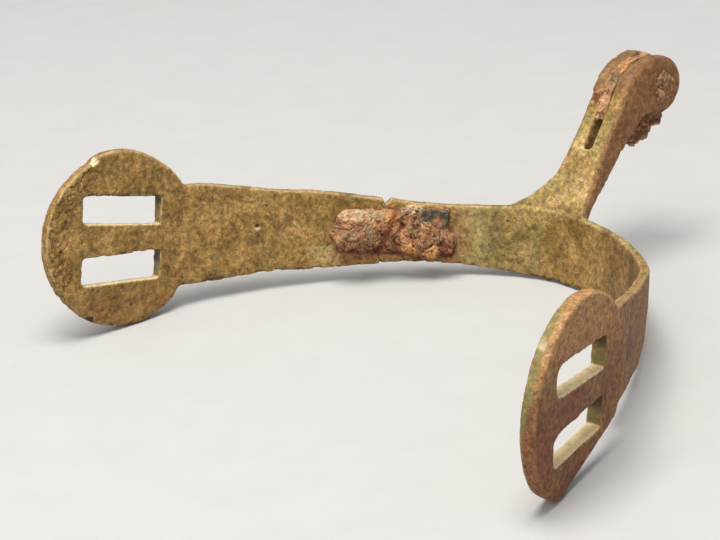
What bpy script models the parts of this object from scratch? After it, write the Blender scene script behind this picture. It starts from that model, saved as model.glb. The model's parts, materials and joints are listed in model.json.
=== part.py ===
"""A cast copper-alloy heel spur with a repaired branch and the remnant of an iron rowel.

The design axes are the spur's own: X runs forward from the heel, Y runs across it and Z is up, with the
origin midway between the two round terminals, at the mid height of the band. The empty "spur" then lays
the whole object down on the rims of its terminals and the lower edge of its heel.
"""
import math

import bmesh
import bpy
from mathutils import Vector

# Terminals: flat round plates with two strap slots each, whose front corners are round. Faces called inner
# face the boot. A crest is how much higher than round a terminal stands, and its direction is counted from
# forward towards up.
DISC_CHAMFER = 0.0003
DISC_SEGMENTS = 72
CREST_DIRECTION = math.radians(78.0)
SLOT_CORNER_STEPS = 4
SLOT_OFFSET_FRONT = 0.0050
SLOT_OFFSET_REAR = 0.0044

# The heel band, as each branch runs from the heel to its terminal.
HEEL_DEPTH = 0.0553
HEEL_SKEW = math.radians(-1.8)
BAND_THICKNESS = 0.0016
BAND_CROWN = 0.0002
BAND_CHAMFER = 0.0003
BAND_HALF_HEIGHTS = ((0.0, 0.0060), (0.35, 0.0051), (0.70, 0.0069), (1.0, 0.0084))
BAND_STEPS = 28
JUNCTION_RADIUS = 0.0116
JUNCTION_OVERLAP = 0.0030
JUNCTION_INSET = 0.0001

FAR_SIDE = {
    "side": -1,
    "radius": 0.0143,
    "crest": 0.0,
    "thickness": 0.0021,
    "slot_height": 0.0045,
    "slot_front": 0.0076,
    "slot_rear": -0.0070,
    "slot_round": 0.0007,
    "centre": Vector((-0.0002, -0.0464, 0.0006)),
    "yaw": math.radians(-7.9),
    "roll": math.radians(-6.5),
    "pitch": math.radians(4.5),
    "heel_pull": 0.0171,
    "end_pull": 0.0101,
    "end_yaw": math.radians(-9.8),
}
NEAR_SIDE = {
    "side": 1,
    "radius": 0.0140,
    "crest": 0.0009,
    "thickness": 0.0024,
    "slot_height": 0.0047,
    "slot_front": 0.0079,
    "slot_rear": -0.0071,
    "slot_round": 0.0014,
    "centre": Vector((0.0005, 0.0453, -0.0001)),
    "yaw": math.radians(13.3),
    "roll": math.radians(1.1),
    "pitch": math.radians(-4.2),
    "heel_pull": 0.0266,
    "end_pull": 0.0146,
    "end_yaw": math.radians(31.3),
}

# The near terminal's rim is flattened below, towards its branch: how far from the centre, and which way.
FLAT_DISTANCE = 0.0107
FLAT_DIRECTION = math.radians(-111.0)

# The fracture of the far branch and its iron repair. Places along a branch are fractions of its length.
GAP = 0.0003
BREAK_AT = 0.490
NOTCH_WIDTH = 0.0010
NOTCH_DEPTH = 0.0008
PLATE_REAR = 0.300
PLATE_FRONT = 0.605
PLATE_THICKNESS = 0.0012
PLATE_HALF_HEIGHT = 0.0043
PLATE_STEPS = 12
RIVET_REAR_AT = 0.367
RIVET_FRONT_AT = 0.530
RIVET_RADIUS = 0.0012
RIVET_HEAD_RADIUS = 0.0026
RIVET_HEAD_HEIGHT = 0.0013
RIVET_CLENCH_RADIUS = 0.0021
RIVET_CLENCH_HEIGHT = 0.0007
RIVET_SEGMENTS = 20

# The neck, as pairs of points on its upper and lower edges (X, Z), with its half widths towards the far
# and near sides. Its root hugs the curved band, and a fillet spreads it along the far side of the band.
NECK_Y = -0.0007
NECK_CHAMFER = 0.0006
BAND_BOW = 26.4
NECK_STATIONS = (
    # upper edge, lower edge, far half width, near half width, hug
    ((-0.0558, 0.0030), (-0.0568, -0.0030), 0.0105, 0.0052, 1.00),
    ((-0.0557, 0.0060), (-0.0580, 0.0010), 0.0098, 0.0047, 1.00),
    ((-0.0563, 0.0076), (-0.0593, 0.0046), 0.0075, 0.0042, 0.85),
    ((-0.0573, 0.0095), (-0.0606, 0.0073), 0.0058, 0.0039, 0.55),
    ((-0.0586, 0.0118), (-0.0619, 0.0096), 0.0045, 0.0037, 0.20),
    ((-0.0599, 0.0150), (-0.0639, 0.0122), 0.0037, 0.0035, 0.00),
    ((-0.0615, 0.0178), (-0.0656, 0.0146), 0.0035, 0.0035, 0.00),
    ((-0.0636, 0.0214), (-0.0676, 0.0168), 0.0035, 0.0035, 0.00),
    ((-0.0653, 0.0245), (-0.0694, 0.0187), 0.0035, 0.0035, 0.00),
    ((-0.0671, 0.0275), (-0.0710, 0.0203), 0.0035, 0.0035, 0.00),
    ((-0.0698, 0.0295), (-0.0726, 0.0212), 0.0035, 0.0035, 0.00),
    ((-0.0728, 0.0304), (-0.0746, 0.0210), 0.0035, 0.0035, 0.00),
)
HEAD_CENTRE = Vector((-0.0760, NECK_Y, 0.0256))
HEAD_RADIUS = 0.0049
HEAD_STEPS = 9
ROWEL_SLIT_WIDTH = 0.0016
ROWEL_SLIT_REACH = 0.0179

# The rowel pin and what is left of the rowel: a hub and the stubs of the points inside the box.
PIN_RADIUS = 0.0017
PIN_LENGTH = 0.0070
PIN_SEGMENTS = 24
ROWEL_THICKNESS = 0.0010
ROWEL_HUB_RADIUS = 0.0043
ROWEL_STUBS = (
    # direction from +X towards +Z in degrees, tip radius, half width at the hub in degrees
    (9.0, 0.0096, 15.0),
    (-15.0, 0.0134, 11.0),
    (-55.0, 0.0086, 24.0),
    (-84.0, 0.0097, 20.0),
    (-115.0, 0.0080, 24.0),
)
ROWEL_BLUNTNESS = 2.2
ROWEL_SEGMENTS = 72

# How the spur lies at rest, and where that puts its origin under the middle of its box.
REST_PITCH = math.radians(-7.62)
REST_ROLL = math.radians(-0.47)
BRASS = ((0.30, 0.23, 0.10), 0.62, 0.55)
IRON = ((0.23, 0.11, 0.05), 0.90, 0.10)


def clear_scene():
    """Remove every object that the new file starts with."""
    for thing in list(bpy.data.objects):
        bpy.data.objects.remove(thing)


def make_material(name, look):
    """Return a Principled material of the given colour, roughness and metallic value."""
    colour, roughness, metallic = look
    material = bpy.data.materials.new(name)
    material.use_nodes = True
    shader = material.node_tree.nodes["Principled BSDF"]
    shader.inputs["Base Color"].default_value = (*colour, 1.0)
    shader.inputs["Roughness"].default_value = roughness
    shader.inputs["Metallic"].default_value = metallic
    return material


def new_object(name, builder, parent, look=None):
    """Turn a bmesh into an object; one without a look is a tool for a Boolean, kept out of sight."""
    bmesh.ops.recalc_face_normals(builder, faces=builder.faces)
    mesh = bpy.data.meshes.new(name)
    builder.to_mesh(mesh)
    builder.free()
    thing = bpy.data.objects.new(name, mesh)
    bpy.context.collection.objects.link(thing)
    thing.parent = parent
    if look is None:
        thing.hide_render = True
        thing.display_type = "WIRE"
    else:
        mesh.materials.append(make_material(name, look))
        mesh.shade_smooth()
        mesh.set_sharp_from_angle(angle=math.radians(30))
    return thing


def combine(target, tool, operation):
    """Add an exact Boolean of the tool to the target."""
    modifier = target.modifiers.new(tool.name, "BOOLEAN")
    modifier.operation = operation
    modifier.solver = "EXACT"
    modifier.object = tool


def flat_cap(builder, loop):
    """Close a flat loop with one face."""
    builder.faces.new(loop)


def strip_cap(builder, loop):
    """Close a bowed loop, whose last point faces its first two, with a strip of faces across it."""
    last = len(loop) - 3
    for i in range(-1, last // 2):
        builder.faces.new((loop[i], loop[i + 1], loop[last - i - 1], loop[last - i]))


def loft(rings, cap=flat_cap):
    """Return a closed bmesh through a list of rings of points, with a cap at each end."""
    builder = bmesh.new()
    loops = [[builder.verts.new(point) for point in ring] for ring in rings]
    count = len(loops[0])
    for lower, upper in zip(loops, loops[1:]):
        for i in range(count):
            j = (i + 1) % count
            builder.faces.new((lower[i], lower[j], upper[j], upper[i]))
    cap(builder, loops[0])
    cap(builder, loops[-1])
    return builder


def turned(profile, origin, axis, segments):
    """Return a closed bmesh turned about an axis from (radius, distance) points, ends on the axis."""
    turn = axis.to_track_quat("Z", "Y").to_matrix()
    builder = bmesh.new()
    ends = [builder.verts.new(origin + axis * profile[k][1]) for k in (0, -1)]
    loops = []
    for radius, distance in profile[1:-1]:
        angles = (2 * math.pi * i / segments for i in range(segments))
        flat = (Vector((radius * math.cos(a), radius * math.sin(a), distance)) for a in angles)
        loops.append([builder.verts.new(origin + turn @ point) for point in flat])
    for lower, upper in zip(loops, loops[1:]):
        for i in range(segments):
            j = (i + 1) % segments
            builder.faces.new((lower[i], lower[j], upper[j], upper[i]))
    for tip, loop in zip(ends, (loops[0], loops[-1])):
        for i in range(segments):
            builder.faces.new((tip, loop[i], loop[(i + 1) % segments]))
    return builder


def prism(outline, direction):
    """Return a closed bmesh that extrudes a flat outline along a vector."""
    return loft([outline, [point + direction for point in outline]])


def terminal_axes(branch):
    """Return the forward, up and outward directions of a terminal's plate."""
    level = Vector((math.cos(branch["yaw"]), math.sin(branch["yaw"]), 0.0))
    up = Vector((0.0, 0.0, 1.0))
    leaning = up * math.cos(branch["roll"]) + up.cross(level) * math.sin(branch["roll"])
    forward = level * math.cos(branch["pitch"]) + leaning * math.sin(branch["pitch"])
    upward = leaning * math.cos(branch["pitch"]) - level * math.sin(branch["pitch"])
    outward = upward.cross(forward) * branch["side"]
    return forward, upward, outward


def branch_point(branch, t):
    """Return a point and the travel direction on the inner face's cubic curve, t from heel to terminal."""
    side = branch["side"]
    heel = Vector((-HEEL_DEPTH, 0.0, 0.0))
    leave = Vector((-math.sin(HEEL_SKEW), math.cos(HEEL_SKEW), 0.0)) * side
    end = branch["centre"] - terminal_axes(branch)[0] * JUNCTION_RADIUS
    arrive = Vector((math.cos(branch["end_yaw"]), math.sin(branch["end_yaw"]), 0.0))
    a, b, c, d = heel, heel + leave * branch["heel_pull"], end - arrive * branch["end_pull"], end
    s = 1.0 - t
    point = s ** 3 * a + 3 * s * s * t * b + 3 * s * t * t * c + t ** 3 * d
    slope = 3 * s * s * (b - a) + 6 * s * t * (c - b) + 3 * t * t * (d - c)
    return point, slope.normalized()


def curve_parameter(branch, fraction, steps=400):
    """Return the t at which a fraction of the branch's length is reached."""
    points = [branch_point(branch, i / steps)[0] for i in range(steps + 1)]
    lengths = [(q - p).length for p, q in zip(points, points[1:])]
    wanted = fraction * sum(lengths)
    for i, length in enumerate(lengths):
        if wanted <= length:
            return (i + wanted / length) / steps
        wanted -= length
    return 1.0


def smoothstep(x):
    """Ease a value from 0 to 1."""
    x = min(max(x, 0.0), 1.0)
    return x * x * (3.0 - 2.0 * x)


def half_height(fraction):
    """Return the band's half height at a fraction of a branch's length, eased between its known places."""
    for (x0, h0), (x1, h1) in zip(BAND_HALF_HEIGHTS, BAND_HALF_HEIGHTS[1:]):
        if fraction <= x1:
            return h0 + (h1 - h0) * smoothstep((fraction - x0) / (x1 - x0))
    return BAND_HALF_HEIGHTS[-1][1]


def branch_frame(branch, fraction):
    """Return a point on the inner face with its up and outward directions, at a fraction of the length."""
    point, travel = branch_point(branch, curve_parameter(branch, fraction))
    upright = Vector((0.0, 0.0, 1.0))
    tilt = smoothstep((fraction - 0.6) / 0.4)
    up = upright.lerp(terminal_axes(branch)[1], tilt)
    outward = up.cross(travel) * branch["side"]
    outward.normalize()
    up = travel.cross(outward) * branch["side"]
    return point, up.normalized(), outward


def band_section(point, up, outward, height, inset=0.0):
    """Return the band's cross-section: flat inside, slightly crowned outside, with broken corners."""
    thick, cut = BAND_THICKNESS - inset, BAND_CHAMFER
    outline = (
        (inset, cut - height), (inset + cut, -height), (thick - cut, -height), (thick, cut - height),
        (thick + BAND_CROWN, 0.0), (thick, height - cut), (thick - cut, height), (inset + cut, height),
        (inset, height - cut),
    )
    return [point + outward * across + up * rise for across, rise in outline]


def branch_sections(branch, start, stop, steps):
    """Return the sections of a branch between two fractions of its length."""
    sections = []
    for i in range(steps + 1):
        fraction = start + (stop - start) * i / steps
        point, up, outward = branch_frame(branch, fraction)
        sections.append(band_section(point, up, outward, half_height(fraction)))
    return sections


def branch_end(branch):
    """Return the section that carries a branch on into its terminal."""
    forward, up, outward = terminal_axes(branch)
    point = branch["centre"] - forward * (JUNCTION_RADIUS - JUNCTION_OVERLAP)
    return band_section(point, up, outward, half_height(1.0), JUNCTION_INSET)


def break_fraction(direction):
    """Return where one face of the fracture lies, on the heel side (-1) or the terminal side (1)."""
    steps = 100
    points = [branch_point(FAR_SIDE, i / steps)[0] for i in range(steps + 1)]
    length = sum((q - p).length for p, q in zip(points, points[1:]))
    return BREAK_AT + direction * 0.5 * GAP / length


def terminal_plate(branch):
    """Return a bmesh of a round plate with broken edges."""
    forward, up, outward = terminal_axes(branch)
    cut, thick = DISC_CHAMFER, branch["thickness"]
    spokes = []
    for i in range(DISC_SEGMENTS):
        angle = 2 * math.pi * i / DISC_SEGMENTS
        rim = branch["radius"] + branch["crest"] * max(0.0, math.cos(angle - CREST_DIRECTION)) ** 2
        spokes.append((forward * math.cos(angle) + up * math.sin(angle), rim))
    rings = []
    for inset, depth in ((cut, 0.0), (0.0, cut), (0.0, thick - cut), (cut, thick)):
        centre = branch["centre"] + outward * depth
        rings.append([centre + spoke * (rim - inset) for spoke, rim in spokes])
    return loft(rings)


def slot_cutter(branch, row):
    """Return a bmesh that cuts the upper (1) or lower (-1) strap slot of a terminal."""
    forward, up, outward = terminal_axes(branch)
    half, turn = branch["slot_height"] / 2, branch["slot_round"]
    rear, middle = branch["slot_rear"], row * SLOT_OFFSET_REAR
    outline = [(rear, middle + half), (rear, middle - half)]
    for corner in (-1, 1):
        for i in range(SLOT_CORNER_STEPS + 1):
            angle = math.pi / 2 * (i / SLOT_CORNER_STEPS + (corner - 1) / 2)
            centre = row * SLOT_OFFSET_FRONT + corner * (half - turn)
            ahead = branch["slot_front"] - turn + turn * math.cos(angle)
            outline.append((ahead, centre + turn * math.sin(angle)))
    depth = outward * branch["thickness"]
    start = branch["centre"] - depth
    return prism([start + forward * a + up * b for a, b in outline], 3 * depth)


def flat_cutter():
    """Return a bmesh that flattens the near terminal's rim below."""
    forward, up, outward = terminal_axes(NEAR_SIDE)
    away = forward * math.cos(FLAT_DIRECTION) + up * math.sin(FLAT_DIRECTION)
    along = outward.cross(away)
    radius, thick = NEAR_SIDE["radius"], NEAR_SIDE["thickness"]
    foot = NEAR_SIDE["centre"] + away * FLAT_DISTANCE - outward * 2 * thick
    corners = [foot - along * radius, foot + along * radius]
    corners += [corners[1] + away * radius, corners[0] + away * radius]
    return prism(corners, outward * 5 * thick)


def neck_ring(upper, lower, far, near, hug):
    """Return a ring round the neck at one station; hug bends it along the band and thins its ends."""
    top, bottom = Vector((upper[0], 0, upper[1])), Vector((lower[0], 0, lower[1]))
    depth = bottom - top
    cut = min(NECK_CHAMFER, 0.25 * depth.length)
    corner = depth.normalized() * cut

    def place(across, base):
        reach = far if across < 0 else near
        edge = min(abs(across) / reach, 1.0)
        bowed = Vector((BAND_BOW * across * across * hug, NECK_Y + across, 0))
        thinning = depth * (-0.55 * hug * edge * edge) if base == "lower" else Vector((0, 0, 0))
        return bowed + thinning

    across = [-far + cut, -far / 2, 0.0, near / 2, near - cut]
    ring = [top + place(u, "upper") for u in across]
    ring += [top + corner + place(near, "upper"), bottom - corner + place(near, "lower")]
    ring += [bottom + place(u, "lower") for u in reversed(across)]
    ring += [bottom - corner + place(-far, "lower"), top + corner + place(-far, "upper")]
    return ring


def neck_body():
    """Return a bmesh of the neck from its root in the band to its round head."""
    rings = [neck_ring(*station) for station in NECK_STATIONS]
    for i in range(HEAD_STEPS):
        angle = math.pi / 2 * (i + 0.4) / HEAD_STEPS
        x = HEAD_CENTRE.x - HEAD_RADIUS * math.sin(angle)
        rise = HEAD_RADIUS * math.cos(angle)
        half = NECK_STATIONS[-1][2]
        rings.append(neck_ring((x, HEAD_CENTRE.z + rise), (x, HEAD_CENTRE.z - rise), half, half, 0.0))
    return loft(rings, strip_cap)


def cylinder(centre, axis, radius, length, segments):
    """Return a bmesh of a plain cylinder centred on a point."""
    half = length / 2
    profile = ((0.0, -half), (radius, -half), (radius, half), (0.0, half))
    return turned(profile, centre, axis, segments)


def rivet_line(fraction):
    """Return the point and outward direction of a rivet at a fraction of the far branch."""
    point, _, outward = branch_frame(FAR_SIDE, fraction)
    return point, outward


def make_heel_band(spur):
    """The casting: the heel, the near branch and terminal, and the forked neck."""
    far = branch_sections(FAR_SIDE, break_fraction(-1), 0.0, BAND_STEPS // 2)
    near = branch_sections(NEAR_SIDE, 0.0, 1.0, BAND_STEPS)
    band = loft(far + near[1:] + [branch_end(NEAR_SIDE)])
    casting = new_object("heel_band", band, spur, BRASS)
    combine(casting, new_object("near_terminal_blank", terminal_plate(NEAR_SIDE), spur), "UNION")
    combine(casting, new_object("neck_blank", neck_body(), spur), "UNION")
    for row in (1, -1):
        cutter = new_object(f"near_slot_cutter_{row}", slot_cutter(NEAR_SIDE, row), spur)
        combine(casting, cutter, "DIFFERENCE")
    combine(casting, new_object("near_flat_cutter", flat_cutter(), spur), "DIFFERENCE")
    across = Vector((0, 1, 0))
    slit = cylinder(HEAD_CENTRE, across, ROWEL_SLIT_REACH, ROWEL_SLIT_WIDTH, 64)
    combine(casting, new_object("rowel_slit_cutter", slit, spur), "DIFFERENCE")
    bore = cylinder(HEAD_CENTRE, across, PIN_RADIUS + GAP, 3 * PIN_LENGTH, PIN_SEGMENTS)
    combine(casting, new_object("pin_bore_cutter", bore, spur), "DIFFERENCE")
    point, outward = rivet_line(RIVET_REAR_AT)
    hole = cylinder(point, outward, RIVET_RADIUS + GAP, 4 * BAND_THICKNESS, RIVET_SEGMENTS)
    combine(casting, new_object("rear_rivet_hole_cutter", hole, spur), "DIFFERENCE")
    combine(casting, new_object("break_notch_cutter", break_notch(), spur), "DIFFERENCE")
    return casting


def break_notch():
    """Return a bmesh that nicks the upper edge of the casting beside the fracture."""
    point, up, outward = branch_frame(FAR_SIDE, break_fraction(-1))
    back = up.cross(outward)
    if back.x > 0:
        back = -back
    top = point + up * half_height(BREAK_AT) - outward * BAND_THICKNESS
    wide, deep = NOTCH_WIDTH, NOTCH_DEPTH
    outline = [
        top - back * wide - up * deep, top - up * deep, top + back * wide, top + back * wide + up * deep,
        top - back * wide + up * deep,
    ]
    return prism(outline, outward * BAND_THICKNESS * 4)


def make_far_branch(spur):
    """The broken-off front of the far branch with its terminal."""
    sections = branch_sections(FAR_SIDE, break_fraction(1), 1.0, BAND_STEPS // 2)
    branch = new_object("far_branch", loft(sections + [branch_end(FAR_SIDE)]), spur, BRASS)
    combine(branch, new_object("far_terminal_blank", terminal_plate(FAR_SIDE), spur), "UNION")
    for row in (1, -1):
        cutter = new_object(f"far_slot_cutter_{row}", slot_cutter(FAR_SIDE, row), spur)
        combine(branch, cutter, "DIFFERENCE")
    point, outward = rivet_line(RIVET_FRONT_AT)
    hole = cylinder(point, outward, RIVET_RADIUS + GAP, 4 * BAND_THICKNESS, RIVET_SEGMENTS)
    combine(branch, new_object("front_rivet_hole_cutter", hole, spur), "DIFFERENCE")
    return branch


def make_repair_plate(spur):
    """The iron strap that follows the branch's inner face across the fracture."""
    rings = []
    for i in range(PLATE_STEPS + 1):
        fraction = PLATE_REAR + (PLATE_FRONT - PLATE_REAR) * i / PLATE_STEPS
        point, up, outward = branch_frame(FAR_SIDE, fraction)
        near, off = -GAP, -GAP - PLATE_THICKNESS
        half = PLATE_HALF_HEIGHT
        outline = ((near, -half), (near, half), (off, half - GAP), (off, GAP - half))
        rings.append([point + outward * across + up * rise for across, rise in outline])
    plate = new_object("repair_plate", loft(rings), spur, IRON)
    for label, place in (("front", RIVET_FRONT_AT), ("rear", RIVET_REAR_AT)):
        point, outward = rivet_line(place)
        hole = cylinder(point, outward, RIVET_RADIUS + GAP, 4 * BAND_THICKNESS, RIVET_SEGMENTS)
        combine(plate, new_object(f"plate_{label}_hole_cutter", hole, spur), "DIFFERENCE")
    return plate


def make_repair_rivet(spur, label, fraction):
    """A rivet with a domed head on the plate and a flattened end outside the branch."""
    point, outward = rivet_line(fraction)
    seat = -2 * GAP - PLATE_THICKNESS
    crown = seat - RIVET_HEAD_HEIGHT
    back = BAND_THICKNESS + BAND_CROWN + GAP
    head, clench = RIVET_HEAD_RADIUS, RIVET_CLENCH_RADIUS
    profile = (
        (0.0, crown), (0.55 * head, crown + 0.12 * RIVET_HEAD_HEIGHT),
        (0.88 * head, crown + 0.5 * RIVET_HEAD_HEIGHT), (head, seat), (RIVET_RADIUS, seat),
        (RIVET_RADIUS, back), (clench, back), (0.8 * clench, back + RIVET_CLENCH_HEIGHT),
        (0.0, back + RIVET_CLENCH_HEIGHT),
    )
    body = turned(profile, Vector((0, 0, 0)), outward, RIVET_SEGMENTS)
    rivet = new_object(f"repair_rivet_{label}", body, spur, IRON)
    rivet.location = point
    return rivet


def make_rowel_pin(spur):
    """The iron pin across the fork, with softly rounded ends."""
    half = PIN_LENGTH / 2
    round_off = 0.2 * PIN_RADIUS
    profile = (
        (0.0, -half), (PIN_RADIUS - round_off, -half), (PIN_RADIUS, round_off - half),
        (PIN_RADIUS, half - round_off), (PIN_RADIUS - round_off, half), (0.0, half),
    )
    body = turned(profile, Vector((0, 0, 0)), Vector((0, 1, 0)), PIN_SEGMENTS)
    pin = new_object("rowel_pin", body, spur, IRON)
    pin.location = HEAD_CENTRE
    return pin


def rowel_radius(angle):
    """Return the remnant's outline radius in a direction, given in degrees."""
    radius = ROWEL_HUB_RADIUS
    for direction, tip, spread in ROWEL_STUBS:
        off = abs((angle - direction + 180.0) % 360.0 - 180.0)
        if off < spread:
            radius = max(radius, tip + (ROWEL_HUB_RADIUS - tip) * (off / spread) ** ROWEL_BLUNTNESS)
    return radius


def make_rowel(spur):
    """What is left of the rowel: a bored hub with the stubs of its points on one side."""
    half = ROWEL_THICKNESS / 2
    outline, bore = [], []
    for i in range(ROWEL_SEGMENTS):
        degrees = 360.0 * i / ROWEL_SEGMENTS
        direction = Vector((math.cos(math.radians(degrees)), 0, math.sin(math.radians(degrees))))
        outline.append(direction * rowel_radius(degrees))
        bore.append(direction * (PIN_RADIUS + GAP))
    across = Vector((0, half, 0))
    rings = [
        [p - across for p in outline], [p + across for p in outline],
        [p + across for p in bore], [p - across for p in bore],
    ]
    builder = bmesh.new()
    loops = [[builder.verts.new(point) for point in ring] for ring in rings]
    for lower, upper in zip(loops, loops[1:] + loops[:1]):
        for i in range(ROWEL_SEGMENTS):
            j = (i + 1) % ROWEL_SEGMENTS
            builder.faces.new((lower[i], lower[j], upper[j], upper[i]))
    rowel = new_object("rowel", builder, spur, IRON)
    rowel.location = HEAD_CENTRE
    return rowel


def lay_down(spur, pieces):
    """Tilt the spur to the way it rests, then put the bottom centre of its box at the origin."""
    spur.rotation_euler = (REST_ROLL, REST_PITCH, 0.0)
    bpy.context.view_layer.update()
    graph = bpy.context.evaluated_depsgraph_get()
    corners = []
    for piece in pieces:
        mesh = piece.evaluated_get(graph).to_mesh()
        corners += [piece.matrix_world @ vertex.co for vertex in mesh.vertices]
    low = Vector([min(c[k] for c in corners) for k in range(3)])
    high = Vector([max(c[k] for c in corners) for k in range(3)])
    spur.location = (-(low.x + high.x) / 2, -(low.y + high.y) / 2, -low.z)
    bpy.context.view_layer.update()


def main():
    clear_scene()
    spur = bpy.data.objects.new("spur", None)
    bpy.context.collection.objects.link(spur)
    pieces = [
        make_heel_band(spur),
        make_far_branch(spur),
        make_repair_plate(spur),
        make_repair_rivet(spur, "front", RIVET_FRONT_AT),
        make_repair_rivet(spur, "rear", RIVET_REAR_AT),
        make_rowel_pin(spur),
        make_rowel(spur),
    ]
    lay_down(spur, pieces)


main()
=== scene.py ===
"""An excavated rowel spur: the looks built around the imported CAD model.

Each CAD solid is remeshed finely and then worn, pitted or rusted point by point, and the iron repair gets the
rust that has swollen over it. Objects are in metres; noise, pits and painted places are worked out in
millimetres in the spur's own axes: X forward from the heel, Y across to the unbroken branch and Z up, with
the origin midway between the two round terminals.
"""
import json
import math

import bmesh
import bpy
import numpy as np
from mathutils import Euler, Matrix, Vector, noise


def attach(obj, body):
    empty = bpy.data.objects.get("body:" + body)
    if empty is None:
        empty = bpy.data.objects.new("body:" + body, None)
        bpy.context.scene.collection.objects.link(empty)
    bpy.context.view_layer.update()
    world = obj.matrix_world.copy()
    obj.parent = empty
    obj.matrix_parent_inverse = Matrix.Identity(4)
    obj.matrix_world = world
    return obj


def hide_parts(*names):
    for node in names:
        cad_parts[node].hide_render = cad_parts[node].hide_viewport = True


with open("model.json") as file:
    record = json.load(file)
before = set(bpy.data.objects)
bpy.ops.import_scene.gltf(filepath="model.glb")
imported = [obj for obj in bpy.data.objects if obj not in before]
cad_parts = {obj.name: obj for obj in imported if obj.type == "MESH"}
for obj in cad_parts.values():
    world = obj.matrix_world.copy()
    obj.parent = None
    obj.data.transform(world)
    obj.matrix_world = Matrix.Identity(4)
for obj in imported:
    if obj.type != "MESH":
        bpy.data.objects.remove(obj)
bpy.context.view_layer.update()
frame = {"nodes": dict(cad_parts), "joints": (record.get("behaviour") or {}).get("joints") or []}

MM = 0.001

# The camera: where it aims, and from where.
AIM = Vector((0.0278, 0.0004, 0.0180))
CAMERA_DISTANCE = 0.322
CAMERA_AZIMUTH = math.radians(44.96)
CAMERA_ELEVATION = math.radians(21.56)
CAMERA_ROLL = math.radians(-3.22)
CAMERA_LENS = 108.4
CAMERA_CLIP_START = 0.01

# How the CAD lays the spur down. The pin's centre, in the spur's own axes in mm, ties them to the frame.
REST_PITCH = math.radians(-7.62)
REST_ROLL = math.radians(-0.47)
PIN_CENTRE = Vector((-76.0, -0.7, 25.6))

# The far branch's inner face, as the CAD draws it from the heel to the terminal, in mm.
BRANCH_CURVE = (
    Vector((-55.3, 0.0, 0.0)), Vector((-55.84, -17.09, 0.0)),
    Vector((-21.59, -42.99, -0.3)), Vector((-11.64, -44.71, -0.3)),
)
# Where the fracture and the rear rivet are, as shares of the curve's length.
BREAK_AT = 0.490
RIVET_REAR_AT = 0.367

# How finely the pieces are meshed, and how many rounds of averaging smooth the steps that leaves.
CASTING_VOXEL = 0.21 * MM
CASTING_SOFTENING = 4
RUST_VOXEL = 0.15 * MM
FORK_RUST_VOXEL = 0.12 * MM
RUST_SOFTENING = 1


# ---------------------------------------------------------------- the spur's own axes

def spur_matrix():
    """Return the matrix from the spur's own axes, in mm, to the frame."""
    turn = Euler((REST_ROLL, REST_PITCH, 0.0)).to_matrix().to_4x4()
    pin = Vector(frame["joints"][0]["pos_m"])
    return Matrix.Translation(pin - turn @ PIN_CENTRE * MM) @ turn @ Matrix.Scale(MM, 4)


SPUR = spur_matrix()


def along_curve(t):
    """Return a point and the travel direction on the far branch's curve."""
    a, b, c, d = BRANCH_CURVE
    s = 1.0 - t
    point = s ** 3 * a + 3 * s * s * t * b + 3 * s * t * t * c + t ** 3 * d
    slope = 3 * s * s * (b - a) + 6 * s * t * (c - b) + 3 * t * t * (d - c)
    return point, slope.normalized()


class Branch:
    """The far branch's inner face: places on it are mm from the heel along its curve, and mm up."""

    STEPS = 240

    def __init__(self):
        points = [along_curve(i / self.STEPS)[0] for i in range(self.STEPS + 1)]
        lengths = [(after - before).length for before, after in zip(points, points[1:])]
        self.reach = np.cumsum([0.0] + lengths)
        self.length = self.reach[-1]
        self.plan = np.array([point.xy for point in points])

    def place(self, run, rise):
        """Return a point of the face and the direction that faces the boot."""
        t = np.interp(run, self.reach, np.linspace(0.0, 1.0, self.STEPS + 1))
        point, travel = along_curve(float(t))
        inward = Vector((-travel.y, travel.x, 0.0))
        return Vector((point.x, point.y, rise)), inward

    def run_of(self, places):
        """Return how far along the curve the nearest point to each place is, and how far off the place is."""
        flat = places[:, :2]
        run, off = np.zeros(len(flat)), np.full(len(flat), np.inf)
        for reach, place in zip(self.reach, self.plan):
            gap = np.hypot(*(flat - place).T)
            closer = gap < off
            run[closer], off[closer] = reach, gap[closer]
        return run, off


BRANCH = Branch()


# ---------------------------------------------------------------- noise over many points

def rumple(spots, size, seed, octaves=2):
    """Return noise from about -1 to 1 at each spot, with features about size mm across."""
    shift = Vector((seed, 1.7 * seed, -0.6 * seed))
    return np.array([noise.fractal(spot / size + shift, 1.0, 2.0, octaves) for spot in spots])


def pits(spots, spacing, reach, share, seed):
    """Return 0 to 1 for how deep each spot lies in a scatter of round pits up to reach mm wide."""
    shift = Vector((seed, -seed, 0.5 * seed))
    depths = np.zeros(len(spots))
    for k, spot in enumerate(spots):
        gaps, centres = noise.voronoi(spot / spacing + shift)
        pick = 0.5 + 0.5 * noise.cell(centres[0] * 91.7)
        if pick < share:
            radius = reach * (0.35 + 0.65 * pick / share)
            depths[k] = max(0.0, 1.0 - (gaps[0] * spacing / radius) ** 2)
    return depths


def ease(values, low, high):
    """Ease values from 0 at low to 1 at high; low may be the larger."""
    x = np.clip((values - low) / (high - low), 0.0, 1.0)
    return x * x * (3.0 - 2.0 * x)


def near(spots, centre, radius):
    """Return 1 at a centre, easing to 0 at radius mm from it."""
    return ease(np.linalg.norm(np.array(spots) - np.array(centre), axis=1), radius, 0.0)


# ---------------------------------------------------------------- finely meshed pieces

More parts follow.
